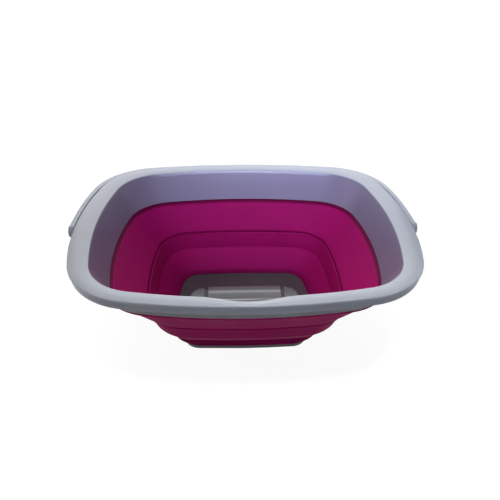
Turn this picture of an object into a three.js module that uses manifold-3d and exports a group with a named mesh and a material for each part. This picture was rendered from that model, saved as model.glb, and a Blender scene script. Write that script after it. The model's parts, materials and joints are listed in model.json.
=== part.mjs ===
import * as THREE from 'three';
import { mergeVertices } from 'three/addons/utils/BufferGeometryUtils.js';
import Module from 'manifold-3d';

// Collapsible rectangular bucket with a bail handle, standing open.
// Millimetres, +Z up. The origin is on the floor, under the middle of the overall outline.
// The pour scoop is on the -Y side, and the folded handle lies round the +Y side.

const wasm = await Module();
wasm.setup();

// Levels of the wall's inner face: half width a, half depth b, corner radius r (rFront where
// the front corners differ), how far the long and the short sides bow out, the height z, and
// how far the short sides step out in front of the handle's pivots.
const lip = { a: 172, b: 140, r: 57.5, rFront: 57.5, bowLong: 12, bowShort: 10.3, z: 137.5, step: 0 };
const band = { a: 156, b: 123, r: 53, bowLong: 9.5, bowShort: 8.2, z: 101.3 };
const crease = { a: 116.2, b: 98.6, r: 40.8, bowLong: 4.3, bowShort: 3.7, z: 61.5 };
const kink = { a: 109, b: 92.3, r: 37.5, bowLong: 4, bowShort: 3.7, z: 41 };
const collar = { a: 94.4, b: 71.8, r: 25, bowLong: 2.7, bowShort: 7, z: 17.6 };
const base = { a: 92, b: 69.5, r: 22, bowLong: 2.2, bowShort: 8, z: 10.2 };
const foot = { a: 86, b: 69.4, r: 19, bowLong: 2.2, bowShort: 12, z: 0 };

// Rim: the lip's crest, its rolled outer edge and the skirt that hangs from it, set back
const rimTop = 138.5;
const sides = { bowLong: 10.5, bowShort: 11, step: 0.9 };
const lipEdge = { a: 193.8, b: 152.4, r: 68.6, rFront: 78.6, z: 138.1, ...sides };
const rimEdge = { a: 195.2, b: 153.8, r: 70, rFront: 80, z: 136.8, ...sides };
const skirtBottom = { a: 193.6, b: 152.2, r: 68.4, rFront: 78.4, z: 125.7, ...sides };
const edgeRoll = 2.6;
const joggle = { start: 18, end: 50 };
const lipThickness = 2.6;
const lipRound = { drop: 1, rise: 0.1, inset: 0.2, reach: 1.8 };
const lipCrest = 0.8;
const lipShoulder = 0.84;
const lipRoot = 0.3;
const edgeFall = 0.4;
const rimWall = 2.4;
const wallHead = 0.92;
const skirtWall = 2.2;
const weld = 1;
const flangeWidth = 7.6;
const flangeHeight = 6;
const ribCount = 24;
const ribThickness = 1.8;
const ribDepth = 7;
const handholdShare = 0.3;
const earRadius = 10.5;
const ribSink = 0.4;

// Pour scoop in the middle of the front lip
const scoopHalfWidth = 50;
const scoopReach = 3;
const scoopDrop = 1.6;
const scoopCrest = 0.3;
const scoopWall = 0.7;
const scoopUnder = 0.9;

// Soft wall
const softWall = 2.2;
const foldWall = 3.6;
const hingeWall = 3;
const seam = 0.3;
const hingeShare = 0.12;
const bondWidth = 6.6;
const bondHeight = 3;
const beadDepth = 0.8;
const beadHeight = 2;
const beadDrop = 2.2;
const beadWall = 4;
const kinkBulge = 0.6;
const kinkShare = 0.92;
const foldSag = 0.8;
const collarBottom = 6;
const collarEdge = 1.9;
const collarBulge = 2.4;
const collarTuck = 1;

// Base plate and the hand grip pressed up into it
const plateThickness = 2.6;
const footWall = 2.4;
const footHeight = 5.7;
const gripLength = 95;
const gripHalfWidth = 20;
const gripHeight = 23.7;
const gripSide = 12.7;
const gripBevel = 1.5;
const shoulderHalfLength = 72;
const shoulderHeight = 15.7;
const shoulderRound = 4;
const grooveWidth = 4.5;
const grooveFloor = 10;
const gripWall = 2.4;
const baseRibHeight = 5;
const baseRibSpacing = 44;
const pocketShare = 0.4;

// Bail handle
const handleGap = 3.4;
const rearGap = 1.2;
const strapWidthSide = 6.2;
const strapWidthRear = 9.6;
const strapHeight = 13;
const strapTop = 136;
const strapChamfer = 0.25;
const strapRise = 80;
const gripDrop = 5;
const gripReach = 58;
const gripBlend = 26;
const pivotY = -1;
const pivotZ = 126.5;
const eyeRadius = 7.2;
const pegRadius = 3.2;
const pegClearance = 0.4;
const pegHeadRadius = 4.4;
const pegHeadLength = 3;
const pegLength = 12.5;
const restX = 104;
const restWidth = 24;
const restThickness = 2;
const restReach = 8;

// Points along a quarter of each outline, passes that find where its sides meet, and the
// steps in round pins, arches and rounded edges
const shortSteps = 4;
const cornerSteps = 8;
const longSteps = 8;
const cornerPasses = 30;
const pinSteps = 20;
const archSteps = 14;
const endSteps = 8;
const edgeSteps = 3;

const rimColour = 0xbcc6cf;
const wallColour = 0x96206a;
const baseColour = 0x6f7078;
const hardGloss = 0.35;
const softGloss = 0.5;

function between(from, to, share) {
  const level = {};
  for (const key of Object.keys(from)) {
    level[key] = THREE.MathUtils.lerp(from[key], to[key], share);
  }
  return level;
}

function grow(level, distance, z = level.z) {
  const grown = { ...level, z };
  for (const key of ['a', 'b', 'r', 'rFront']) {
    if (key in level) {
      grown[key] = level[key] + distance;
    }
  }
  return grown;
}

function scoopAt(point) {
  if (point.y > 0 || Math.abs(point.x) > scoopHalfWidth) {
    return 0;
  }
  return Math.cos((Math.PI * point.x) / (2 * scoopHalfWidth)) ** 2;
}

// One quarter of a rounded rectangle with bowed sides, from the X axis to the Y axis.
// The sides are parabolas, drawn inset by the corner radius and then offset by it.
function quarterOutline({ a, b, r, bowLong, bowShort }) {
  const insetA = a - r;
  const insetB = b - r;
  let cornerX = insetA;
  let cornerY = insetB;
  for (let i = 0; i < cornerPasses; i++) {
    cornerY = insetB - bowLong * (cornerX / insetA) ** 2;
    cornerX = insetA - bowShort * (cornerY / insetB) ** 2;
  }
  const points = [];
  const addPoint = (x, y, angle) => {
    points.push(new THREE.Vector2(x + r * Math.cos(angle), y + r * Math.sin(angle)));
  };
  for (let i = 0; i < shortSteps; i++) {
    const y = (cornerY * i) / shortSteps;
    const slope = (2 * bowShort * y) / insetB ** 2;
    addPoint(insetA - bowShort * (y / insetB) ** 2, y, Math.atan(slope));
  }
  const startAngle = Math.atan((2 * bowShort * cornerY) / insetB ** 2);
  const endAngle = Math.PI / 2 - Math.atan((2 * bowLong * cornerX) / insetA ** 2);
  for (let i = 0; i < cornerSteps; i++) {
    addPoint(cornerX, cornerY, THREE.MathUtils.lerp(startAngle, endAngle, i / cornerSteps));
  }
  for (let i = 0; i <= longSteps; i++) {
    const x = cornerX * (1 - i / longSteps);
    const slope = (2 * bowLong * x) / insetA ** 2;
    addPoint(x, insetB - bowLong * (x / insetA) ** 2, Math.PI / 2 - Math.atan(slope));
  }
  return points;
}

// The whole outline at a level, anticlockwise from the +X axis
function outline(level) {
  const rear = quarterOutline(level);
  const front = quarterOutline({ ...level, r: level.rFront ?? level.r });
  for (const point of front) {
    const share = THREE.MathUtils.smoothstep(point.y, joggle.start, joggle.end);
    point.x *= 1 + (share * (level.step ?? 0)) / level.a;
  }
  const outwards = (quarter) => quarter.slice(0, -1);
  const homewards = (quarter) => quarter.slice(1).reverse();
  const loop = [
    ...outwards(rear).map((p) => new THREE.Vector3(p.x, p.y, level.z)),
    ...homewards(rear).map((p) => new THREE.Vector3(-p.x, p.y, level.z)),
    ...outwards(front).map((p) => new THREE.Vector3(-p.x, -p.y, level.z)),
    ...homewards(front).map((p) => new THREE.Vector3(p.x, -p.y, level.z)),
  ];
  if (level.scoop) {
    for (const point of loop) {
      const share = level.scoop * scoopAt(point);
      point.y -= share * scoopReach;
      point.z -= share * scoopDrop;
    }
  }
  return loop;
}

// A solid swept through sections that all have the same number of points.
// A closed sweep joins the last section to the first; an open one has flat ends.
function sweep(sections, closed) {
  const size = sections[0].length;
  const position = sections.flat().flatMap((p) => [p.x, p.y, p.z]);
  const index = [];
  const spans = closed ? sections.length : sections.length - 1;
  for (let j = 0; j < spans; j++) {
    const here = j * size;
    const next = ((j + 1) % sections.length) * size;
    for (let k = 0; k < size; k++) {
      const after = (k + 1) % size;
      index.push(here + k, here + after, next + after);
      index.push(here + k, next + after, next + k);
    }
  }
  if (!closed) {
    const last = (sections.length - 1) * size;
    for (let k = 1; k < size - 1; k++) {
      index.push(0, k + 1, k);
      index.push(last, last + k, last + k + 1);
    }
  }
  const geometry = new THREE.BufferGeometry();
  geometry.setAttribute('position', new THREE.Float32BufferAttribute(position, 3));
  geometry.setIndex(index);
  return geometry;
}

// A ring round the bucket whose section runs up the inner face and down the outer one
function ring(levels) {
  const loops = levels.map(outline);
  const sections = loops[0].map((_, j) => loops.map((loop) => loop[j]));
  return sweep(sections, true);
}

function solid(geometry) {
  const plain = geometry.clone();
  plain.deleteAttribute('normal');
  plain.deleteAttribute('uv');
  const merged = mergeVertices(plain, 1e-4);
  return new wasm.Manifold(
    new wasm.Mesh({
      numProp: 3,
      vertProperties: new Float32Array(merged.attributes.position.array),
      triVerts: new Uint32Array(merged.index.array),
    }),
  );
}

function fromSolid(body) {
  const mesh = body.getMesh();
  const geometry = new THREE.BufferGeometry();
  geometry.setAttribute('position', new THREE.BufferAttribute(mesh.vertProperties, 3));
  geometry.setIndex(new THREE.BufferAttribute(mesh.triVerts, 1));
  return geometry;
}

function box(sizeX, sizeY, sizeZ, x, y, z) {
  return new THREE.BoxGeometry(sizeX, sizeY, sizeZ).translate(x, y, z);
}

// A solid stacked up through outlines, with a flat bottom and top
function stack(levels) {
  return sweep(levels.map(outline), false);
}

// A cylinder along X between two places on the pivot axis
function pivotCylinder(radius, fromX, toX) {
  const cylinder = new THREE.CylinderGeometry(radius, radius, toX - fromX, pinSteps);
  return cylinder.rotateZ(Math.PI / 2).translate((fromX + toX) / 2, pivotY, pivotZ);
}

// A level of the lip at a share of the way from its inner edge to its outer one
function lipAt(share, z) {
  return grow(between(lip, lipEdge, share), 0, z);
}

// Rim frame: inner band, rounded lip, hanging skirt, flange for the soft wall
const skirtInner = grow(skirtBottom, -skirtWall);
const rollBottom = rimEdge.z - edgeRoll;
const skirtShoulder = grow(skirtInner, 0, rollBottom - weld);
const lipUnderOuter = lipAt(lipShoulder, rimTop - edgeFall - lipThickness);
const lipUnderInner = { ...lipAt(lipRoot, rimTop - lipThickness), scoop: scoopUnder };
const wallTopOuter = { ...grow(lip, rimWall, lipUnderInner.z - 2 * weld), scoop: scoopWall };
const flangeTop = grow(band, flangeWidth, band.z + flangeHeight);
const flangeRoot = grow(between(band, lip, (1.5 * flangeHeight) / (lip.z - band.z)), rimWall);

function rimRing() {
  return ring([
    band,
    between(band, lip, 0.5),
    { ...between(band, lip, wallHead), scoop: scoopWall },
    { ...grow(lip, lipRound.inset, lip.z - lipRound.drop), scoop: 1 },
    { ...grow(lip, lipRound.reach, lip.z + lipRound.rise), scoop: 1 },
    { ...lipAt(lipCrest, rimTop), scoop: scoopCrest },
    lipEdge,
    rimEdge,
    grow(rimEdge, 0, rollBottom),
    grow(skirtBottom, 0, rollBottom - weld),
    skirtBottom,
    skirtInner,
    skirtShoulder,
    lipUnderOuter,
    lipUnderInner,
    wallTopOuter,
    flangeRoot,
    flangeTop,
    grow(band, flangeWidth),
  ]);
}

// Thin ribs that tie the skirt to the inner wall under the lip, with the short sides left
// clear for the hands
function lipRibs() {
  const ribBottom = lipUnderInner.z - ribDepth;
  const wallShare = (ribBottom - band.z) / (lip.z - band.z);
  const filler = ring([
    grow(between(band, lip, wallShare), rimWall - ribSink, ribBottom),
    grow(wallTopOuter, -ribSink),
    grow(lipUnderInner, 0, lipUnderInner.z + ribSink),
    grow(lipUnderOuter, 0, lipUnderOuter.z + ribSink),
    grow(skirtShoulder, ribSink),
    grow(skirtInner, ribSink, ribBottom),
  ]);
  const middle = between(lip, lipEdge, 0.5);
  const bladeLength = 2 * (lipEdge.a - lip.a);
  const blades = [];
  for (let i = 0; i < ribCount; i++) {
    const angle = ((i + 0.5) / ribCount) * 2 * Math.PI;
    if (Math.abs(Math.sin(angle)) < handholdShare) {
      continue;
    }
    const blade = box(bladeLength, ribThickness, 3 * ribDepth, 0, 0, ribBottom + ribDepth);
    blade.rotateZ(angle);
    blade.translate(middle.a * Math.cos(angle), middle.b * Math.sin(angle), 0);
    blades.push(solid(blade));
  }
  return solid(filler).intersect(wasm.Manifold.union(blades));
}

// A band of the skirt's own thickness, let down from it to a lower level
function skirtApron(bottom) {
  const top = skirtBottom.z + weld;
  return [grow(skirtInner, 0, bottom), grow(skirtInner, 0, top), grow(skirtBottom, 0, top)];
}

// Rounded ears under the short sides, which the handle turns on
function pivotEars() {
  const bottom = pivotZ - earRadius;
  const apron = ring([...skirtApron(bottom), grow(skirtBottom, 0, bottom)]);
  const reach = skirtBottom.a + earRadius;
  const depth = 2 * earRadius;
  const ear = solid(pivotCylinder(earRadius, -reach, reach));
  const stem = solid(box(2 * reach, depth, depth, 0, pivotY, pivotZ + earRadius));
  return solid(apron).intersect(ear.add(stem));
}

// Two short hooks on the rear skirt that the folded handle rests on
function handleRests() {
  const restTop = strapTop - strapHeight - 2 * seam;
  const restBottom = restTop - restThickness;
  const hook = ring([
    ...skirtApron(restBottom),
    grow(skirtBottom, 0, restTop),
    grow(skirtBottom, restReach, restTop),
    grow(skirtBottom, restReach, restBottom),
  ]);
  const rearHalf = (x) => solid(box(restWidth, skirtBottom.b, strapTop, x, skirtBottom.b, restTop));
  return solid(hook).intersect(rearHalf(-restX).add(rearHalf(restX)));
}

function rimFrame() {
  const from = skirtBottom.a - 3 * skirtWall;
  const to = rimEdge.a;
  const bore = pegRadius + pegClearance;
  const holes = solid(pivotCylinder(bore, from, to)).add(solid(pivotCylinder(bore, -to, -from)));
  const body = solid(rimRing()).add(lipRibs()).add(pivotEars()).add(handleRests());
  return fromSolid(body.subtract(holes));
}

// Bail handle: a strap round the rear of the rim, with an eye and a snap peg at each end
const strapInner = { ...grow(rimEdge, handleGap, 0), b: rimEdge.b + rearGap };
const strapOuter = {
  ...strapInner,
  a: strapInner.a + strapWidthSide,
  b: strapInner.b + strapWidthRear,
  r: strapInner.r + strapWidthSide,
};

function strapSection(inner, outer) {
  const rise = THREE.MathUtils.smoothstep(inner.y, pivotY, strapRise);
  const middle = THREE.MathUtils.lerp(pivotZ, strapTop - strapHeight / 2, rise);
  const grip = 1 - THREE.MathUtils.smoothstep(Math.abs(inner.x), gripReach, gripReach + gripBlend);
  const bottom = middle - strapHeight / 2 - gripDrop * grip;
  const top = middle + strapHeight / 2;
  const edge = strapChamfer * strapWidthSide;
  const at = (share, z) => new THREE.Vector3().lerpVectors(inner, outer, share).setZ(z);
  return [
    at(0, bottom + edge),
    at(0, top - edge),
    at(strapChamfer, top),
    at(1 - strapChamfer, top),
    at(1, top - edge),
    at(1, bottom + edge),
    at(1 - strapChamfer, bottom),
    at(strapChamfer, bottom),
  ];
}

function bailHandle() {
  const half = 2 * (shortSteps + cornerSteps + longSteps) + 1;
  const innerPath = outline(strapInner).slice(0, half);
  const outerPath = outline(strapOuter).slice(0, half);
  for (const path of [innerPath, outerPath]) {
    path.unshift(path[0].clone().setY(pivotY));
    path.push(path[half].clone().setY(pivotY));
  }
  let body = solid(sweep(innerPath.map((point, j) => strapSection(point, outerPath[j])), false));
  const inside = strapInner.a;
  for (const side of [-1, 1]) {
    const pieces = [
      pivotCylinder(eyeRadius, inside, inside + strapWidthSide),
      pivotCylinder(pegRadius, inside - pegLength, inside + weld),
      pivotCylinder(pegHeadRadius, inside - pegLength, inside - pegLength + pegHeadLength),
    ];
    for (const piece of pieces) {
      const placed = side > 0 ? piece : piece.rotateZ(Math.PI).translate(0, 2 * pivotY, 0);
      body = body.add(solid(placed));
    }
  }
  return fromSolid(body);
}

// Soft wall, upper fold: bonded under the rim's flange, then a band that folds inwards
function upperFoldWall() {
  const top = { ...band, z: band.z - seam };
  const bottom = { ...crease, z: crease.z + seam };
  const outerFace = (share, wall) => {
    const level = between(bottom, top, share);
    return grow(level, wall, level.z - wall / 2);
  };
  return ring([
    bottom,
    between(bottom, top, hingeShare),
    between(bottom, top, 0.5),
    between(bottom, top, 1 - hingeShare),
    top,
    grow(band, bondWidth, top.z),
    grow(band, bondWidth, top.z - bondHeight),
    outerFace(1 - 1.5 * hingeShare, foldWall),
    outerFace(0.5, foldWall),
    outerFace(hingeShare, hingeWall),
    grow(bottom, foldWall),
  ]);
}

// Soft wall, middle ring: a stiff upright wall with a bead along its top edge
function middleWallRing() {
  const beadZ = crease.z - beadDrop;
  const middle = between(kink, crease, 0.5);
  return ring([
    kink,
    middle,
    between(kink, crease, 1 - 1.5 * hingeShare),
    grow(crease, -beadDepth, beadZ - beadHeight / 2),
    grow(crease, -beadDepth, beadZ + beadHeight / 2),
    crease,
    grow(crease, foldWall),
    grow(crease, beadWall, beadZ),
    grow(middle, softWall),
    grow(kink, softWall),
  ]);
}

// Soft wall, lower fold: the second band that folds, down to the collar
function lowerFoldWall() {
  const top = { ...kink, z: kink.z - seam };
  const bottom = { ...collar, z: collar.z + seam };
  const outerFace = (share) => {
    const level = between(bottom, top, share);
    return grow(level, softWall, level.z - foldSag);
  };
  return ring([
    bottom,
    between(bottom, top, 0.5),
    grow(between(bottom, top, kinkShare), kinkBulge),
    top,
    grow(top, softWall),
    outerFace(1 - hingeShare),
    outerFace(0.5),
    grow(bottom, softWall),
  ]);
}

// Soft wall, base collar: grips the base plate's edge all round
const neck = grow(foot, -softWall, footHeight);

function baseCollar() {
  return ring([
    grow(neck, 4 * seam, collarBottom),
    grow(base, 2 * seam),
    between(base, collar, 0.5),
    collar,
    grow(collar, softWall),
    grow(base, collarEdge, base.z - collarTuck),
    grow(foot, collarBulge, collarBottom + 2 * seam),
    grow(foot, seam, collarBottom),
  ]);
}

// The grip's half-round bar and its lower rounded shoulders, with a groove across them at each
// end of the bar, drawn inset by a wall thickness
function gripForm(inset) {
  const halfWidth = gripHalfWidth - inset;
  const top = base.z + gripHeight - inset;
  const springing = base.z + gripSide;
  const arch = new THREE.Shape();
  arch.moveTo(halfWidth, 0);
  arch.lineTo(halfWidth - gripBevel, springing);
  arch.absellipse(0, springing, halfWidth - gripBevel, top - springing, 0, Math.PI, false);
  arch.lineTo(-halfWidth, 0);
  arch.closePath();
  const length = gripLength - 2 * inset;
  const bar = new THREE.ExtrudeGeometry(arch, {
    depth: length - 2 * gripBevel,
    bevelSize: gripBevel,
    bevelThickness: gripBevel,
    bevelOffset: -gripBevel,
    bevelSegments: edgeSteps - 1,
    curveSegments: archSteps,
  });
  const alongX = new THREE.Matrix4().makeBasis(
    new THREE.Vector3(0, 1, 0),
    new THREE.Vector3(0, 0, 1),
    new THREE.Vector3(1, 0, 0),
  );
  bar.applyMatrix4(alongX).translate(gripBevel - length / 2, 0, 0);

  const straight = shoulderHalfLength - gripHalfWidth;
  const stadium = new THREE.Shape();
  stadium.moveTo(-straight, -halfWidth);
  stadium.lineTo(straight, -halfWidth);
  stadium.absarc(straight, 0, halfWidth, -Math.PI / 2, Math.PI / 2, false);
  stadium.lineTo(-straight, halfWidth);
  stadium.absarc(-straight, 0, halfWidth, Math.PI / 2, (3 * Math.PI) / 2, false);
  const shoulderTop = base.z + shoulderHeight - inset;
  const shoulders = new THREE.ExtrudeGeometry(stadium, {
    depth: shoulderTop,
    bevelSize: shoulderRound,
    bevelThickness: shoulderRound,
    bevelOffset: -shoulderRound,
    bevelSegments: edgeSteps,
    curveSegments: endSteps,
  });
  shoulders.translate(0, 0, -shoulderRound);
  const floor = base.z + grooveFloor - inset;
  const grooves = [-1, 1].map((side) => {
    const x = (side * (gripLength + grooveWidth)) / 2;
    return solid(box(grooveWidth + 2 * inset, 3 * gripHalfWidth, 2 * gripHeight, x, 0, floor + gripHeight));
  });
  return solid(bar).add(solid(shoulders)).subtract(wasm.Manifold.union(grooves));
}

// Low ribs under the plate, from the grip out to the foot
function baseRibs() {
  const ribTop = base.z - plateThickness + ribSink;
  const z = ribTop - baseRibHeight / 2;
  const reachX = neck.a - footWall / 2;
  const reachY = neck.b - footWall / 2;
  const ribs = [solid(box(2 * reachX, ribThickness, baseRibHeight, 0, 0, z))];
  for (const x of [-baseRibSpacing, 0, baseRibSpacing]) {
    ribs.push(solid(box(ribThickness, 2 * reachY, baseRibHeight, x, 0, z)));
  }
  return wasm.Manifold.union(ribs).subtract(gripForm(gripWall));
}

function basePlate() {
  const outside = solid(stack([foot, grow(foot, 0, footHeight), neck, base]));
  const pocket = solid(
    stack([
      grow(foot, -footWall, -weld),
      grow(foot, -footWall, footHeight - footWall),
      grow(neck, -footWall),
      grow(between(neck, base, pocketShare), -footWall, base.z - plateThickness),
    ]),
  );
  const plateMiddle = base.z - plateThickness / 2;
  const below = solid(box(4 * base.a, 4 * base.b, base.a, 0, 0, plateMiddle - base.a / 2));
  const raised = gripForm(0).subtract(below);
  const shell = outside.subtract(pocket).add(baseRibs()).add(raised);
  return fromSolid(shell.subtract(gripForm(gripWall)));
}

function piece(name, geometry, color, roughness) {
  geometry.computeVertexNormals();
  const material = new THREE.MeshStandardMaterial({ color, roughness, metalness: 0 });
  const mesh = new THREE.Mesh(geometry, material);
  mesh.name = name;
  return mesh;
}

// Round the wall's middle, then moved so that the origin is under the middle of the outline
const assembly = new THREE.Group();
assembly.position.y = (rimEdge.b - strapOuter.b) / 2;
assembly.add(
  piece('rim_frame', rimFrame(), rimColour, hardGloss),
  piece('bail_handle', bailHandle(), rimColour, hardGloss),
  piece('upper_fold_wall', upperFoldWall(), wallColour, softGloss),
  piece('middle_wall_ring', middleWallRing(), wallColour, softGloss),
  piece('lower_fold_wall', lowerFoldWall(), wallColour, softGloss),
  piece('base_collar', baseCollar(), wallColour, softGloss),
  piece('base_plate', basePlate(), baseColour, hardGloss),
);

const bucket = new THREE.Group();
bucket.add(assembly);

export default bucket;
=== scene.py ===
import json
import math

import bmesh
import bpy
from mathutils import Matrix, Vector
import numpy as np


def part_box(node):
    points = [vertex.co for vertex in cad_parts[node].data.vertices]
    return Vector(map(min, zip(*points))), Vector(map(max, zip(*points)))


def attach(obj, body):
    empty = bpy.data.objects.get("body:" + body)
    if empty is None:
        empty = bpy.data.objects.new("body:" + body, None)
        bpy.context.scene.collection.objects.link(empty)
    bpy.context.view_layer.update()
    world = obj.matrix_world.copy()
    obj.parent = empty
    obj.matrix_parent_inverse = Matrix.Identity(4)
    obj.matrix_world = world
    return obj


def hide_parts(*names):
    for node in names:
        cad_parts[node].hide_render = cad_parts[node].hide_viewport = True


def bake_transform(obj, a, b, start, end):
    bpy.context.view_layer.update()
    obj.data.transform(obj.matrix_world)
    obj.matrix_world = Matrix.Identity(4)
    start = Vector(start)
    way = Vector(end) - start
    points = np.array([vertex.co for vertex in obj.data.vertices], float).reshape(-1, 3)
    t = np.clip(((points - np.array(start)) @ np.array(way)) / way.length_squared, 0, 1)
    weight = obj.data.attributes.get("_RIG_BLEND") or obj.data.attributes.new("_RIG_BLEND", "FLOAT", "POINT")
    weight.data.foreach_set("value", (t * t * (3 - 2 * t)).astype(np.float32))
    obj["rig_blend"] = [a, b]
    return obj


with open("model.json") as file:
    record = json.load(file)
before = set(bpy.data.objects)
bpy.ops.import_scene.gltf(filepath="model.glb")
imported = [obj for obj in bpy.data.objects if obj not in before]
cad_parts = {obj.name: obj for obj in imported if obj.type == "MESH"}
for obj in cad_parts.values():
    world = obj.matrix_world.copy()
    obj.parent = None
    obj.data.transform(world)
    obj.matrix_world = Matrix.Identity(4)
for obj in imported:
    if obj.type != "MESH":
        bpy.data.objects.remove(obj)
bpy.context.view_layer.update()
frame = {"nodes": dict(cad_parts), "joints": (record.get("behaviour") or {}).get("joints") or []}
mm = 0.001
print("frame loaded:", len(frame["nodes"]), "nodes")

# The wall's middle line; the origin is under the middle of the whole outline, handle included
ringLow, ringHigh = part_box("middle_wall_ring")
wallMiddle = Vector((0, (ringLow.y + ringHigh.y) / 2, 0))
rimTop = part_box("rim_frame")[1].z / mm
swing = next(j for j in frame["joints"] if j["name"] == "handle_swing")
pivot = Vector(swing["pos_m"]) / mm - wallMiddle / mm  # in millimetres from the wall's middle

# Outlines in millimetres, of the inner face from the lip down to the base, of the foot, and of the
# rim's outside: half width a, half depth b, corner radius r (rFront at the front corners), how far
# the long and short sides bow out, the height z, and how far the short sides step out in front of
# the handle's pivots
wall = dict(
    lip=dict(a=172, b=140, r=57.5, rFront=57.5, bowLong=12, bowShort=10.3, z=137.5, step=0),
    band=dict(a=156, b=123, r=53, rFront=53, bowLong=9.5, bowShort=8.2, z=101.3),
    crease=dict(a=116.2, b=98.6, r=40.8, rFront=40.8, bowLong=4.3, bowShort=3.7, z=61.5),
    kink=dict(a=109, b=92.3, r=37.5, rFront=37.5, bowLong=4, bowShort=3.7, z=41),
    collar=dict(a=94.4, b=71.8, r=25, rFront=25, bowLong=2.7, bowShort=7, z=17.6),
    base=dict(a=92, b=69.5, r=22, rFront=22, bowLong=2.2, bowShort=8, z=10.2),
    foot=dict(a=86, b=69.4, r=19, rFront=19, bowLong=2.2, bowShort=12, z=0),
    lipEdge=dict(a=193.8, b=152.4, r=68.6, rFront=78.6, bowLong=10.5, bowShort=11, z=138.1, step=0.9),
    rimEdge=dict(a=195.2, b=153.8, r=70, rFront=80, bowLong=10.5, bowShort=11, z=136.8, step=0.9),
    skirt=dict(a=193.6, b=152.2, r=68.4, rFront=78.4, bowLong=10.5, bowShort=11, z=125.7, step=0.9),
)
scoop = dict(halfWidth=50, reach=3.4, drop=2.4)  # pour scoop in the front lip
joggle = dict(start=18, end=50)  # where the short sides step out, towards the front
crown = dict(shoulder=0.15, edge=1.3, back=0.4, reach=60)  # the lip's outer half falls away, less at the back
ringSteps = 240  # points round every ring
cornerTries = 24  # enough for the two bowed sides to settle on a shared corner
sideShare = 0.22  # share of a quarter's points on its short side
cornerShare = 0.62  # and up to the end of its corner


def smoothStep(value, low, high):
    share = min(1, max(0, (value - low) / (high - low)))
    return share * share * (3 - 2 * share)


def between(start, end, share):
    return {key: start[key] + (end[key] - start[key]) * share for key in start}


def grow(level, distance, z=None):
    grown = dict(level)
    for key in ("a", "b", "r", "rFront"):
        grown[key] = level[key] + distance
    if z is not None:
        grown["z"] = z
    return grown


def outlinePoint(level, turn):
    # turn runs from 0 to 1, anticlockwise from the right-hand end; the quarters mirror each other
    quarter, share = divmod(turn * 4 % 4, 1)
    if quarter in (1, 3):
        share = 1 - share
    r = level["r"] if quarter < 2 else level["rFront"]
    insetA, insetB = level["a"] - r, level["b"] - r
    cornerX, cornerY = insetA, insetB
    for _ in range(cornerTries):
        cornerY = insetB - level["bowLong"] * (cornerX / insetA) ** 2
        cornerX = insetA - level["bowShort"] * (cornerY / insetB) ** 2
    if share < sideShare:
        y = cornerY * share / sideShare
        x = insetA - level["bowShort"] * (y / insetB) ** 2
        angle = math.atan(2 * level["bowShort"] * y / insetB ** 2)
    elif share < cornerShare:
        x, y = cornerX, cornerY
        first = math.atan(2 * level["bowShort"] * cornerY / insetB ** 2)
        last = math.pi / 2 - math.atan(2 * level["bowLong"] * cornerX / insetA ** 2)
        angle = first + (last - first) * (share - sideShare) / (cornerShare - sideShare)
    else:
        x = cornerX * (1 - share) / (1 - cornerShare)
        y = insetB - level["bowLong"] * (x / insetA) ** 2
        angle = math.pi / 2 - math.atan(2 * level["bowLong"] * x / insetA ** 2)
    x, y = x + r * math.cos(angle), y + r * math.sin(angle)
    if quarter > 1:
        x *= 1 + level.get("step", 0) / level["a"] * smoothStep(y, joggle["start"], joggle["end"])
    point = Vector((x if quarter in (0, 3) else -x, y if quarter < 2 else -y, level["z"]))
    weight = level.get("scoop", 0)
    if weight and point.y < 0 and abs(point.x) < scoop["halfWidth"]:
        dip = weight * math.cos(math.pi * point.x / 2 / scoop["halfWidth"]) ** 2
        point += Vector((0, -scoop["reach"] * dip, -scoop["drop"] * dip))
    share = crown["back"] + (1 - crown["back"]) * smoothStep(-point.y, -crown["reach"], crown["reach"])
    point.z -= level.get("fall", 0) * share
    return point


def place(verts, turnLayer, level):
    for vert in verts:
        vert.co = outlinePoint(level, vert[turnLayer])


# Sets the painted shade on a loop's points
def paintShade(verts, paintedShadeLayer, entry):
    for vert in verts:
        vert[paintedShadeLayer] = entry[2] if len(entry) > 2 else 0


# A closed ring drawn through levels, up the inner face and down the outer one.
# Each entry is (level, edge radius, painted shade); a radius of 0 leaves the loop as it is. The painted
# shade, 0 when left out, is how strongly the material's darker inner colour is painted there as shade.
def ringMesh(profile):
    bm = bmesh.new()
    turnLayer = bm.verts.layers.float.new("turn")
    paintedShadeLayer = bm.verts.layers.float.new("paintedShade")
    verts = bmesh.ops.create_circle(bm, segments=ringSteps, radius=1)["verts"]
    for vert in verts:
        vert[turnLayer] = math.atan2(vert.co.y, vert.co.x) / (2 * math.pi) % 1
    place(verts, turnLayer, profile[0][0])
    paintShade(verts, paintedShadeLayer, profile[0])
    edges = list(bm.edges)
    loops = [edges]
    for entry in profile[1:]:
        made = bmesh.ops.extrude_edge_only(bm, edges=edges)["geom"]
        verts = [g for g in made if isinstance(g, bmesh.types.BMVert)]
        fresh = set(verts)
        edges = [g for g in made if isinstance(g, bmesh.types.BMEdge) and fresh.issuperset(g.verts)]
        place(verts, turnLayer, entry[0])
        paintShade(verts, paintedShadeLayer, entry)
        loops.append(edges)
    bmesh.ops.bridge_loops(bm, edges=loops[0] + loops[-1])
    bmesh.ops.recalc_face_normals(bm, faces=bm.faces)
    for entry, loop in zip(profile, loops):
        if entry[1]:
            roundEdges(bm, loop, entry[1])
    bm.verts.layers.float.remove(turnLayer)
    return bm


def roundEdges(bm, edges, radius, segments=4):
    bmesh.ops.bevel(bm, geom=edges, offset=radius, offset_type="OFFSET", segments=segments,
                    profile=0.5, affect="EDGES", material=-1, clamp_overlap=True)


# Millimetres about the wall's middle become metres in the frame
def makeObject(bm, name):
    bmesh.ops.scale(bm, vec=(mm, mm, mm), verts=bm.verts)
    bmesh.ops.translate(bm, vec=wallMiddle, verts=bm.verts)
    mesh = bpy.data.meshes.new(name)
    bm.to_mesh(mesh)
    bm.free()
    made = bpy.data.objects.new(name, mesh)
    bpy.context.collection.objects.link(made)
    return made


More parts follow.
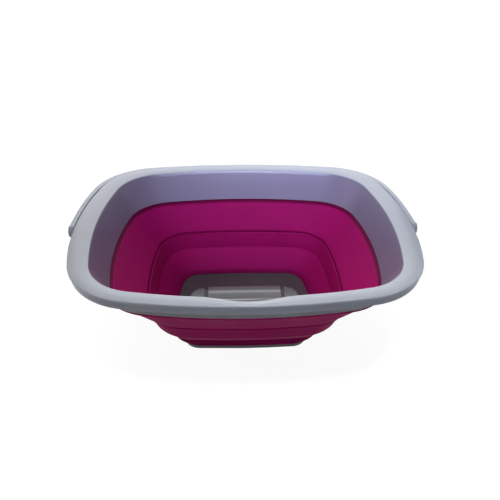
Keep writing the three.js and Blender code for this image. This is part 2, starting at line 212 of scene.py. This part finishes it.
def makePiece(bm, name, material):
    piece = makeObject(bm, name)
    mesh = piece.data
    mesh.shade_smooth()
    mesh.materials.append(material)
    faceWeights = piece.modifiers.new("faceWeights", "WEIGHTED_NORMAL")
    faceWeights.keep_sharp = True
    print("made", name, len(mesh.polygons), "faces")
    return piece


def linear(hexColour):
    channels = [int(hexColour[i:i + 2], 16) / 255 for i in (1, 3, 5)]
    return [c / 12.92 if c <= 0.04045 else ((c + 0.055) / 1.055) ** 2.4 for c in channels] + [1]


def addNode(tree, kind, settings=None, links=None):
    node = tree.nodes.new(kind)
    for name, value in (settings or {}).items():
        if name in node.inputs:
            node.inputs[name].default_value = value
        else:
            setattr(node, name, value)
    for name, source in (links or {}).items():
        tree.links.new(source, node.inputs[name])
    return node


noiseLow, noiseHigh = 0.2, 0.8  # most of the noise lies between these
grainDepth = 0.1  # in millimetres


# A moulded plastic: cloudy colour from the melt's flow, a roughness that wanders with it, painted shade
# where the piece says so (its darker inner colour multiplied in), and the mould's grain. The real grain
# is about 0.1 mm, too fine to show, so it is drawn coarser.
def mouldedMaterial(name, look):
    material = bpy.data.materials.new(name)
    material.use_nodes = True
    tree = material.node_tree
    tree.nodes.clear()
    where = addNode(tree, "ShaderNodeTexCoord").outputs["Object"]
    flow = addNode(tree, "ShaderNodeTexNoise",
                   {"Scale": 1 / (look["flow"] * mm), "Detail": 3.0, "Roughness": 0.55}, {"Vector": where})
    colour = addNode(tree, "ShaderNodeValToRGB", None, {"Fac": flow.outputs["Fac"]})
    colour.color_ramp.elements[0].position = noiseLow
    colour.color_ramp.elements[0].color = linear(look["dark"])
    colour.color_ramp.elements[1].position = noiseHigh
    colour.color_ramp.elements[1].color = linear(look["light"])
    # Painted shade: the piece's attribute mixes in the darker inner colour where it paints shade
    depth = addNode(tree, "ShaderNodeAttribute", {"attribute_name": "paintedShade"})
    paintedShadeMix = addNode(tree, "ShaderNodeMix", {"data_type": "RGBA", "blend_type": "MULTIPLY"})
    # several sockets of this node share a name, so the colour ones go by number
    paintedShadeMix.inputs[7].default_value = linear(look["inner"])
    tree.links.new(depth.outputs["Fac"], paintedShadeMix.inputs[0])
    tree.links.new(colour.outputs["Color"], paintedShadeMix.inputs[6])
    gloss = addNode(tree, "ShaderNodeMapRange",
                    {"From Min": noiseLow, "From Max": noiseHigh,
                     "To Min": look["smooth"], "To Max": look["rough"]},
                    {"Value": flow.outputs["Fac"]})
    grain = addNode(tree, "ShaderNodeTexNoise",
                    {"Scale": 1 / (look["grain"] * mm), "Detail": 2.0}, {"Vector": where})
    bump = addNode(tree, "ShaderNodeBump", {"Strength": look["bump"], "Distance": grainDepth * mm},
                   {"Height": grain.outputs["Fac"]})
    shader = addNode(tree, "ShaderNodeBsdfPrincipled",
                     {"IOR": look["ior"], "Specular IOR Level": look["shine"]},
                     {"Base Color": paintedShadeMix.outputs[2], "Roughness": gloss.outputs["Result"],
                      "Normal": bump.outputs["Normal"]})
    addNode(tree, "ShaderNodeOutputMaterial", None, {"Surface": shader.outputs["BSDF"]})
    return material


# Polypropylene from a polished mould: pale blue grey with a broad satin shine. Its inner colour is
# painted shade with a lavender cast, on the band inside the bucket
mouldedPolypropylene = mouldedMaterial("mouldedPolypropylene", dict(
    light="#bbbfc7", dark="#b5b9c1", inner="#c6b5cd", smooth=0.27, rough=0.33, flow=45,
    grain=1.6, bump=0.05, ior=1.5, shine=0.35))
# Thermoplastic elastomer: deep magenta, nearly matt, with a soft wide sheen; its inner colour is the painted
# shade in the folds, grooves and low wall
softElastomer = mouldedMaterial("softElastomer", dict(
    light="#b6116c", dark="#a90e62", inner="#a8709c", smooth=0.6, rough=0.7, flow=38,
    grain=1.4, bump=0.08, ior=1.5, shine=0.08))
# The same polypropylene in the grey of the base; its inner colour is the painted shade on the floor and the
# shoulders, darker than the grip
basePolypropylene = mouldedMaterial("basePolypropylene", dict(
    light="#878a85", dark="#80837e", inner="#b0aead", smooth=0.14, rough=0.18, flow=40,
    grain=1.5, bump=0.07, ior=1.5, shine=0.5))

# Rim frame: inner band, lip with a rolled outer edge, skirt set back under it, flange at the band's foot
rim = dict(lipThickness=2.6, wall=2.4, skirtWall=2.2, flangeWidth=7.6, flangeHeight=6, flangeRise=1.5,
           bandHead=2.2, edgeDrop=1, edgeInset=0.4, innerRound=0.9, outerRound=1.0, rollBottom=134.2,
           rollRound=0.6, tuck=0.8, tuckRound=0.4, fillet=1.5, underDip=0.4, rootDrop=2, edgeRound=0.7,
           bandPaintedShade=1)


# In a level, scoop is its share of the pour scoop and fall its drop in millimetres
def makeRim():
    lip, band, lipEdge = wall["lip"], wall["band"], wall["lipEdge"]
    rimEdge, skirt = wall["rimEdge"], wall["skirt"]
    skirtInner = grow(skirt, -rim["skirtWall"])
    lipUnder = rimTop - rim["lipThickness"]
    flangeTop = band["z"] + rim["flangeHeight"]
    flangeRoot = between(band, lip, rim["flangeRise"] * rim["flangeHeight"] / (lip["z"] - band["z"]))

    # a share of the way out over the lip
    def across(share, z):
        return grow(between(lip, lipEdge, share), 0, z)

    # The band's first four loops are painted in shade, darker and lavender
    return ringMesh([
        (band, rim["edgeRound"], rim["bandPaintedShade"]),
        (between(band, lip, 0.5), 0, rim["bandPaintedShade"]),
        (dict(between(band, lip, 0.9), scoop=0.7), 0, rim["bandPaintedShade"]),
        (dict(grow(lip, 0, rimTop - rim["bandHead"]), scoop=0.95), 0, rim["bandPaintedShade"]),
        (dict(grow(lip, rim["edgeInset"], rimTop - rim["edgeDrop"]), scoop=1), rim["innerRound"]),
        (dict(across(0.4, rimTop), scoop=0.7), 0),
        (dict(across(0.75, rimTop), scoop=0.3, fall=crown["shoulder"]), 0),
        (dict(grow(rimEdge, 0, rimTop), fall=crown["edge"]), rim["outerRound"]),
        (grow(rimEdge, 0, rim["rollBottom"]), rim["rollRound"]),
        (grow(skirt, 0, rim["rollBottom"] - rim["tuck"]), rim["tuckRound"]),
        (skirt, rim["edgeRound"]),
        (skirtInner, rim["edgeRound"]),
        (grow(skirtInner, 0, lipUnder - rim["fillet"]), 0),
        (across(0.84, lipUnder - rim["underDip"]), 0),
        (dict(across(0.3, lipUnder), scoop=0.9), 0),
        (dict(grow(lip, rim["wall"], lipUnder - rim["rootDrop"]), scoop=0.7), 0),
        (grow(flangeRoot, rim["wall"]), 0),
        (grow(band, rim["flangeWidth"], flangeTop), rim["edgeRound"]),
        (grow(band, rim["flangeWidth"]), rim["edgeRound"]),
    ])


# Under the lip: thin ribs, the ears that the handle turns on and the hooks that it rests on
under = dict(ribs=24, ribThickness=1.8, ribDepth=7, handhold=0.3, sink=0.8,
             earRadius=10.5, earInset=0.12, earSides=48, pegHole=3.6, holeLength=8.8, holeSides=40,
             restX=104, restWidth=24, restReach=8, restThickness=2, restTop=122.4, restSteps=8)
turnSteps = 4 * ringSteps  # how finely a direction is looked up on an outline


# The turn, from 0 to 1, at which a level's outline is nearest to a direction from the middle
def turnTowards(level, angle):
    aim = Vector((math.cos(angle), math.sin(angle)))
    return max((i / turnSteps for i in range(turnSteps)),
               key=lambda turn: outlinePoint(level, turn).xy.normalized().dot(aim))


def addPlate(bm, corners, thickness):
    face = bm.faces.new([bm.verts.new(corner) for corner in corners])
    face.normal_update()
    push = face.normal * thickness
    bmesh.ops.translate(bm, vec=-push / 2, verts=face.verts)
    made = bmesh.ops.extrude_face_region(bm, geom=[face])["geom"]
    bmesh.ops.translate(bm, vec=push, verts=[g for g in made if isinstance(g, bmesh.types.BMVert)])


# A cylinder along the line that the handle turns on
def addCylinder(bm, x, radius, length, sides):
    matrix = Matrix.Translation((x, pivot.y, pivot.z)) @ Matrix.Rotation(math.pi / 2, 4, "Y")
    return bmesh.ops.create_cone(bm, cap_ends=True, segments=sides, radius1=radius, radius2=radius,
                                 depth=length, matrix=matrix)["verts"]


def addRibs(bm):
    lip, band, skirt = wall["lip"], wall["band"], wall["skirt"]
    top = rimTop - rim["lipThickness"] + under["sink"]
    low = top - under["ribDepth"]
    lowShare = (low - band["z"]) / (lip["z"] - band["z"])
    wallSink, skirtSink = rim["wall"] - under["sink"], under["sink"] - rim["skirtWall"]
    for i in range(under["ribs"]):
        angle = (i + 0.5) / under["ribs"] * 2 * math.pi
        if abs(math.sin(angle)) < under["handhold"]:
            continue
        turn = turnTowards(between(lip, skirt, 0.5), angle)
        levels = (dict(grow(between(band, lip, lowShare), wallSink, low), scoop=0.6),
                  dict(grow(lip, wallSink, top), scoop=1),
                  grow(skirt, skirtSink, top - 2 * under["sink"]),
                  grow(skirt, skirtSink, low))
        addPlate(bm, [outlinePoint(level, turn) for level in levels], under["ribThickness"])


def addEars(bm):
    skirt = wall["skirt"]
    for side in (-1, 1):
        made = addCylinder(bm, side * (skirt["a"] - rim["skirtWall"] / 2), under["earRadius"],
                           rim["skirtWall"] - 2 * under["earInset"], under["earSides"])
        geom = list({g for vert in made for g in [vert, *vert.link_edges, *vert.link_faces]})
        cut = bmesh.ops.bisect_plane(bm, geom=geom, plane_co=(0, 0, skirt["z"] + under["sink"]),
                                     plane_no=(0, 0, 1), clear_outer=True)["geom_cut"]
        bmesh.ops.edgenet_fill(bm, edges=[g for g in cut if isinstance(g, bmesh.types.BMEdge)])


# A hook hangs from the skirt's foot and turns out under the strap
def addRests(bm):
    skirt = wall["skirt"]
    low = under["restTop"] - under["restThickness"]
    inner = grow(skirt, -rim["skirtWall"] + under["earInset"])
    outer = grow(skirt, -under["earInset"])
    profile = [grow(inner, 0, low), grow(inner, 0, skirt["z"] + under["sink"]),
               grow(outer, 0, skirt["z"] + under["sink"]), grow(outer, 0, under["restTop"]),
               grow(skirt, under["restReach"], under["restTop"]), grow(skirt, under["restReach"], low)]
    for side in (-1, 1):
        near, far = (turnTowards(skirt, math.atan2(skirt["b"], side * (under["restX"] + reach)))
                     for reach in (-under["restWidth"] / 2, under["restWidth"] / 2))
        steps = [near + (far - near) * i / under["restSteps"] for i in range(under["restSteps"] + 1)]
        face = bm.faces.new([bm.verts.new(outlinePoint(level, steps[0])) for level in profile])
        corners = list(face.verts)
        for turn in steps[1:]:
            fresh = [bm.verts.new(outlinePoint(level, turn)) for level in profile]
            ring = [bm.edges.new((fresh[k - 1], fresh[k])) for k in range(len(fresh))]
            ring += [bm.edges.get((corners[k - 1], corners[k])) for k in range(len(corners))]
            bmesh.ops.bridge_loops(bm, edges=ring)
            corners = fresh
        bm.faces.new(corners)


# Joins or cuts a piece with another mesh for good
def carve(piece, bm, operation):
    bmesh.ops.recalc_face_normals(bm, faces=bm.faces)
    tool = makeObject(bm, "tool")
    piece.modifiers["faceWeights"].show_viewport = False
    boolean = piece.modifiers.new("carve", "BOOLEAN")
    boolean.operation = operation
    boolean.solver = "EXACT"
    boolean.use_self = True
    boolean.object = tool
    bpy.context.view_layer.update()
    carved = bpy.data.meshes.new_from_object(piece.evaluated_get(bpy.context.evaluated_depsgraph_get()))
    piece.modifiers.remove(boolean)
    piece.modifiers["faceWeights"].show_viewport = True
    piece.data = carved
    bpy.data.objects.remove(tool)


rimFrame = makePiece(makeRim(), "rimFrame", mouldedPolypropylene)
addOns = bmesh.new()
addRibs(addOns)
addEars(addOns)
addRests(addOns)
carve(rimFrame, addOns, "UNION")
holes = bmesh.new()
for side in (-1, 1):
    addCylinder(holes, side * wall["skirt"]["a"], under["pegHole"], under["holeLength"], under["holeSides"])
carve(rimFrame, holes, "DIFFERENCE")
print("rim carved to", len(rimFrame.data.polygons), "faces")
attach(rimFrame, "rim")
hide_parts("rim_frame")

# Bail handle: a strap round the rear of the rim, deeper at the grip, with an eye at each end
handle = dict(gap=3.4, rearGap=1.2, widthSide=6.2, widthRear=9.6, height=13, top=136, rise=80,
              gripDrop=5, gripReach=58, gripBlend=26, round=1.5, eyeRadius=7.2, eyeRound=1.0,
              pegRadius=3.2, pegLength=12.5, pegSink=1, pegRound=0.3,
              headRadius=4.4, headLength=3, headRound=0.8, steps=150, discSides=40)


def strapCorners(turn, y=None):
    # the strap's section, from the inner bottom edge round to the outer one
    rimEdge = wall["rimEdge"]
    innerLevel = dict(grow(rimEdge, handle["gap"]), b=rimEdge["b"] + handle["rearGap"])
    outerLevel = dict(innerLevel, a=innerLevel["a"] + handle["widthSide"],
                      b=innerLevel["b"] + handle["widthRear"], r=innerLevel["r"] + handle["widthSide"])
    inner, outer = outlinePoint(innerLevel, turn), outlinePoint(outerLevel, turn)
    if y is not None:
        inner.y = outer.y = y
    climb = handle["top"] - handle["height"] / 2 - pivot.z
    middle = pivot.z + climb * smoothStep(inner.y, pivot.y, handle["rise"])
    grip = 1 - smoothStep(abs(inner.x), handle["gripReach"], handle["gripReach"] + handle["gripBlend"])
    bottom = middle - handle["height"] / 2 - handle["gripDrop"] * grip
    top = middle + handle["height"] / 2
    return [Vector((inner.x, inner.y, bottom)), Vector((inner.x, inner.y, top)),
            Vector((outer.x, outer.y, top)), Vector((outer.x, outer.y, bottom))]


def makeHandle():
    bm = bmesh.new()
    sections = [strapCorners(0, pivot.y)]
    sections += [strapCorners(0.5 * i / handle["steps"]) for i in range(handle["steps"] + 1)]
    sections += [strapCorners(0.5, pivot.y)]
    face = bm.faces.new([bm.verts.new(corner) for corner in sections[0]])
    corners = list(face.verts)
    lengthwise = []
    for section in sections[1:]:
        edges = [bm.edges.get((corners[k], corners[(k + 1) % 4])) for k in range(4)]
        made = bmesh.ops.extrude_edge_only(bm, edges=edges)["geom"]
        fresh = {g for g in made if isinstance(g, bmesh.types.BMVert)}
        ahead = [next(e.other_vert(v) for e in v.link_edges if e.other_vert(v) in fresh) for v in corners]
        lengthwise += [bm.edges.get((old, new)) for old, new in zip(corners, ahead)]
        for vert, co in zip(ahead, section):
            vert.co = co
        corners = ahead
    bm.faces.new(corners)
    bmesh.ops.recalc_face_normals(bm, faces=bm.faces)
    roundEdges(bm, lengthwise, handle["round"])
    for side in (-1, 1):
        addDisc(bm, side, handle["eyeRadius"], 0, handle["widthSide"], handle["eyeRound"])
        addDisc(bm, side, handle["pegRadius"], -handle["pegLength"], handle["pegSink"], handle["pegRound"])
        addDisc(bm, side, handle["headRadius"], -handle["pegLength"],
                handle["headLength"] - handle["pegLength"], handle["headRound"])
    return bm


# A round boss on the pivot line, between two distances out from the strap's inner face
def addDisc(bm, side, radius, start, end, edge):
    inside = wall["rimEdge"]["a"] + handle["gap"]
    middle = inside + (start + end) / 2
    inDisc = set(addCylinder(bm, side * middle, radius, end - start, handle["discSides"]))
    rims = [e for e in bm.edges
            if inDisc.issuperset(e.verts) and len({round(v.co.x, 3) for v in e.verts}) == 1]
    roundEdges(bm, rims, edge, segments=3)


bailHandle = makePiece(makeHandle(), "bailHandle", mouldedPolypropylene)
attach(bailHandle, "handle")
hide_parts("bail_handle")

# Soft wall: two folding bands, a stiff ring with a bead, and the collar that grips the base
soft = dict(wall=2.2, fold=3.6, hinge=3.0, bond=6.6, bondHeight=3, bondRound=1.2, recess=1.6,
            recessRound=0.4, groove=0.7, lineRound=0.3, bead=0.9, beadDrop=2.2, beadHeight=2.0,
            beadRound=0.7, footRound=0.6, creaseRound=0.8, bulge=0.6, bulgeRound=1.0, sag=0.8,
            sagRound=1.2, edgeRound=0.6)
# Painted shade: how much the soft wall is darkened in its recess and grooves, under the bead, on the ring and
# low in the wall
paintedShades = dict(recess=1, groove=0.4, beadFoot=0.2, ring=0.15, lower=0.15, lowerHead=0.1,
             flap=0.8, foot=0.5, collar=0.3)


def makeUpperFold():
    band, crease = wall["band"], wall["crease"]

    # a share of the way up from the crease to the rim's band, on the inner face or outside it
    def at(share, thick=0):
        level = between(crease, band, share)
        return grow(level, thick, level["z"] - thick / 2)

    return ringMesh([
        (grow(crease, soft["groove"]), 0, paintedShades["groove"]),
        (grow(at(0.045), soft["groove"]), 0, paintedShades["groove"]),
        (at(0.065), soft["lineRound"]),
        (at(0.3), 0),
        (at(0.6), 0),
        (at(0.86), 0),
        (at(0.89), soft["recessRound"]),
        (grow(at(0.91), soft["recess"]), 0, paintedShades["recess"]),
        (grow(band, soft["recess"]), 0, paintedShades["recess"]),
        (grow(band, soft["bond"]), soft["edgeRound"]),
        (grow(band, soft["bond"], band["z"] - soft["bondHeight"]), soft["bondRound"]),
        (at(0.85, soft["fold"]), 0),
        (at(0.5, soft["fold"]), 0),
        (at(0.12, soft["hinge"]), 0),
        (grow(crease, soft["fold"]), 0),
    ])


def makeMiddleRing():
    kink, crease = wall["kink"], wall["crease"]
    beadZ = crease["z"] - soft["beadDrop"]
    beadHalf = soft["beadHeight"] / 2
    return ringMesh([
        (kink, 0, paintedShades["ring"]),
        (between(kink, crease, 0.4), 0, paintedShades["ring"]),
        (between(kink, crease, 0.78), soft["footRound"], paintedShades["ring"]),
        (grow(crease, -soft["bead"], beadZ - beadHalf), soft["beadRound"], paintedShades["beadFoot"]),
        (grow(crease, -soft["bead"], beadZ + beadHalf), soft["beadRound"]),
        (grow(crease, soft["groove"]), 0, paintedShades["groove"]),
        (grow(crease, soft["fold"]), 0),
        (grow(crease, soft["fold"], beadZ), soft["creaseRound"]),
        (grow(between(kink, crease, 0.5), soft["wall"]), 0),
        (grow(kink, soft["wall"]), 0),
    ])


def makeLowerFold():
    kink, collar = wall["kink"], wall["collar"]

    # a share of the way up from the collar to the kink
    def at(share, thick=0, sag=0):
        level = between(collar, kink, share)
        return grow(level, thick, level["z"] - sag)

    return ringMesh([
        (collar, 0, paintedShades["lower"]),
        (at(0.3), 0, paintedShades["lower"]),
        (at(0.6), 0, paintedShades["lowerHead"]),
        (at(0.9, soft["bulge"]), soft["bulgeRound"]),
        (kink, 0, paintedShades["ring"]),
        (grow(kink, soft["wall"]), 0),
        (at(0.88, soft["wall"], soft["sag"]), soft["sagRound"]),
        (at(0.5, soft["wall"], soft["sag"]), 0),
        (grow(collar, soft["wall"]), 0),
    ])


# The collar's foot is tucked round the base plate, and a thin flap of it lies over the ends of the floor
cuff = dict(seat=6, neck=1.2, ledge=0.6, flap=4.5, flapLift=0.1, flapTop=0.7, flapRound=0.3,
            edge=1.9, edgeDrop=1, edgeRound=2.0, bulge=2.4, bulgeLift=0.6, bulgeRound=0.5, tuck=0.3)


def makeCollar():
    base, collar, foot = wall["base"], wall["collar"], wall["foot"]
    neck = grow(foot, cuff["neck"] - soft["wall"], cuff["seat"])
    flap = dict(base, a=base["a"] - cuff["flap"], bowShort=base["bowShort"] - cuff["flap"] / 2)
    return ringMesh([
        (neck, 0),
        (grow(base, cuff["ledge"]), 0),
        (grow(flap, 0, base["z"] + cuff["flapLift"]), 0, paintedShades["flap"]),
        (grow(flap, 0, base["z"] + cuff["flapTop"]), cuff["flapRound"], paintedShades["flap"]),
        (between(base, collar, 0.7), 0, paintedShades["foot"]),
        (collar, 0, paintedShades["collar"]),
        (grow(collar, soft["wall"]), 0),
        (grow(base, cuff["edge"], base["z"] - cuff["edgeDrop"]), cuff["edgeRound"]),
        (grow(foot, cuff["bulge"], cuff["seat"] + cuff["bulgeLift"]), cuff["bulgeRound"]),
        (grow(foot, cuff["tuck"], cuff["seat"]), 0),
    ])


upperFold = makePiece(makeUpperFold(), "upperFold", softElastomer)
middleRing = makePiece(makeMiddleRing(), "middleRing", softElastomer)
lowerFold = makePiece(makeLowerFold(), "lowerFold", softElastomer)
baseCollar = makePiece(makeCollar(), "baseCollar", softElastomer)
bandZ, creaseZ, kinkZ, collarZ = (wall[name]["z"] * mm for name in ("band", "crease", "kink", "collar"))
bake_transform(upperFold, "rim", "middle", start=(0, 0, bandZ), end=(0, 0, creaseZ))
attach(middleRing, "middle")
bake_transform(lowerFold, "middle", "base", start=(0, 0, kinkZ), end=(0, 0, collarZ))
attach(baseCollar, "base")
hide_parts("upper_fold_wall")
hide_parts("middle_wall_ring")
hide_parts("lower_fold_wall")
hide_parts("base_collar")

# Base plate: the CAD solid, with its loose triangles joined so that the curved faces shade smoothly
basePlate = dict(weld=0.01, flat=2.0, sharp=35, floorTop=11.5, barEnd=48, floorPaintedShade=1, shoulderPaintedShade=0.4)


def makeBase():
    bm = bmesh.new()
    bm.from_mesh(frame["nodes"]["base_plate"].data)
    bmesh.ops.translate(bm, vec=-wallMiddle, verts=bm.verts)
    bmesh.ops.scale(bm, vec=(1 / mm, 1 / mm, 1 / mm), verts=bm.verts)
    bmesh.ops.remove_doubles(bm, verts=bm.verts, dist=basePlate["weld"])
    bmesh.ops.dissolve_limit(bm, angle_limit=math.radians(basePlate["flat"]), verts=bm.verts, edges=bm.edges)
    paintedShadeLayer = bm.verts.layers.float.new("paintedShade")
    # The floor and the shoulders beside the grip are painted in shade, darker than the grip
    for vert in bm.verts:
        if vert.co.z < basePlate["floorTop"]:
            vert[paintedShadeLayer] = basePlate["floorPaintedShade"]
        elif abs(vert.co.x) > basePlate["barEnd"]:
            vert[paintedShadeLayer] = basePlate["shoulderPaintedShade"]
    return bm


base = makePiece(makeBase(), "basePlate", basePolypropylene)
base.data.set_sharp_from_angle(angle=math.radians(basePlate["sharp"]))
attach(base, "base")
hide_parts("base_plate")

# Pale floor, white to the camera and whiter far off, with the bucket's soft shadow
stage = dict(size=14, floor="#707070", bounce="#b8b8b8", lift=0.93, near=0.45, far=1.2, ambient=0.03)


# 1 on the rays that show the backdrop: straight to the camera, mirrored or through something clear
def backdropRays(tree):
    path = addNode(tree, "ShaderNodeLightPath")
    shown = path.outputs["Is Camera Ray"]
    for kind in ("Is Glossy Ray", "Is Transmission Ray"):
        either = addNode(tree, "ShaderNodeMath", {"operation": "MAXIMUM"})
        tree.links.new(shown, either.inputs[0])
        tree.links.new(path.outputs[kind], either.inputs[1])
        shown = either.outputs["Value"]
    return shown


def makeFloor():
    bm = bmesh.new()
    bmesh.ops.create_grid(bm, x_segments=1, y_segments=1, size=stage["size"] / 2)
    mesh = bpy.data.meshes.new("floor")
    bm.to_mesh(mesh)
    bm.free()
    floor = bpy.data.objects.new("floor", mesh)
    bpy.context.collection.objects.link(floor)
    material = bpy.data.materials.new("paleFloor")
    material.use_nodes = True
    tree = material.node_tree
    tree.nodes.clear()
    shown = backdropRays(tree)
    colour = addNode(tree, "ShaderNodeValToRGB", None, {"Fac": shown})
    colour.color_ramp.elements[0].color = linear(stage["bounce"])
    colour.color_ramp.elements[1].color = linear(stage["floor"])
    where = addNode(tree, "ShaderNodeTexCoord").outputs["Object"]
    away = addNode(tree, "ShaderNodeVectorMath", {"operation": "LENGTH"}, {"Vector": where})
    lift = addNode(tree, "ShaderNodeMapRange", {"From Min": stage["near"], "From Max": stage["far"],
                                                "To Min": stage["lift"], "To Max": 1.0},
                   {"Value": away.outputs["Value"]})
    glow = addNode(tree, "ShaderNodeMath", {"operation": "MULTIPLY"})
    tree.links.new(shown, glow.inputs[0])
    tree.links.new(lift.outputs["Result"], glow.inputs[1])
    shader = addNode(tree, "ShaderNodeBsdfPrincipled", {"Roughness": 1.0, "Emission Color": (1, 1, 1, 1)},
                     {"Base Color": colour.outputs["Color"], "Emission Strength": glow.outputs["Value"]})
    addNode(tree, "ShaderNodeOutputMaterial", None, {"Surface": shader.outputs["BSDF"]})
    mesh.materials.append(material)


# White surroundings, which light the bucket only a little
def makeWorld():
    world = bpy.data.worlds.new("softStudio")
    bpy.context.scene.world = world
    world.use_nodes = True
    tree = world.node_tree
    tree.nodes.clear()
    strength = addNode(tree, "ShaderNodeMapRange", {"To Min": stage["ambient"], "To Max": 1.0},
                       {"Value": backdropRays(tree)})
    surroundings = addNode(tree, "ShaderNodeBackground", {"Color": (1, 1, 1, 1)},
                           {"Strength": strength.outputs["Result"]})
    addNode(tree, "ShaderNodeOutputWorld", None, {"Surface": surroundings.outputs["Background"]})


makeFloor()
makeWorld()
print("floor and surroundings set")

# A broad panel behind for the sheen on the lip, soft light from above and from the left, and two
# narrow beams from the front, a bluish one on the rear wall and one along the front lip
lamps = dict(
    panel=dict(at=(-0.02, 1.1, 0.82), target=(0, 0, 0.1), size=(1.5, 0.95), watts=9),
    sky=dict(at=(-0.45, -0.35, 1.4), target=(0, 0, 0.1), size=(0.6, 0.6), watts=2.2),
    window=dict(at=(-1.2, 0, 0.9), target=(0, 0, 0.1), size=(0.8, 0.8), watts=2.4),
    wallBeam=dict(at=(0.05, -0.85, 1.0), target=(0.06, 0.17, 0.16), size=(0.3, 0.2), watts=0.37, spread=26,
                  colour="#d0daff"),
    lipBeam=dict(at=(0, -0.45, 1.4), target=(-0.02, -0.22, 0.14), size=(0.9, 0.15), watts=0.3, spread=14),
)
for name, lamp in lamps.items():
    light = bpy.data.lights.new(name, "AREA")
    light.shape = "RECTANGLE"
    light.size, light.size_y = lamp["size"]
    light.energy = lamp["watts"]
    light.spread = math.radians(lamp.get("spread", 180))
    light.color = linear(lamp.get("colour", "#ffffff"))[:3]
    lampObject = bpy.data.objects.new(name, light)
    facing = (Vector(lamp["target"]) - Vector(lamp["at"])).to_track_quat("-Z", "Y")
    lampObject.matrix_world = Matrix.Translation(lamp["at"]) @ facing.to_matrix().to_4x4()
    bpy.context.collection.objects.link(lampObject)

# Camera at the photo's angle: its place in millimetres from the floor under the wall's middle, then
# pitch, heading and roll
view = dict(place=(-18.7, -506.4, 436.1), pitch=33.81, heading=-2.82, roll=0.905, lens=36, sensor=36)
cameraData = bpy.data.cameras.new("camera")
cameraData.lens = view["lens"]
cameraData.sensor_width = view["sensor"]
camera = bpy.data.objects.new("camera", cameraData)
turned = (Matrix.Rotation(math.radians(view["heading"]), 4, "Z")
          @ Matrix.Rotation(math.pi / 2 - math.radians(view["pitch"]), 4, "X")
          @ Matrix.Rotation(math.radians(view["roll"]), 4, "Z"))
camera.matrix_world = Matrix.Translation(Vector(view["place"]) * mm + wallMiddle) @ turned
bpy.context.collection.objects.link(camera)
bpy.context.scene.camera = camera
bpy.context.scene.view_settings.view_transform = "Standard"
print("camera and light set")
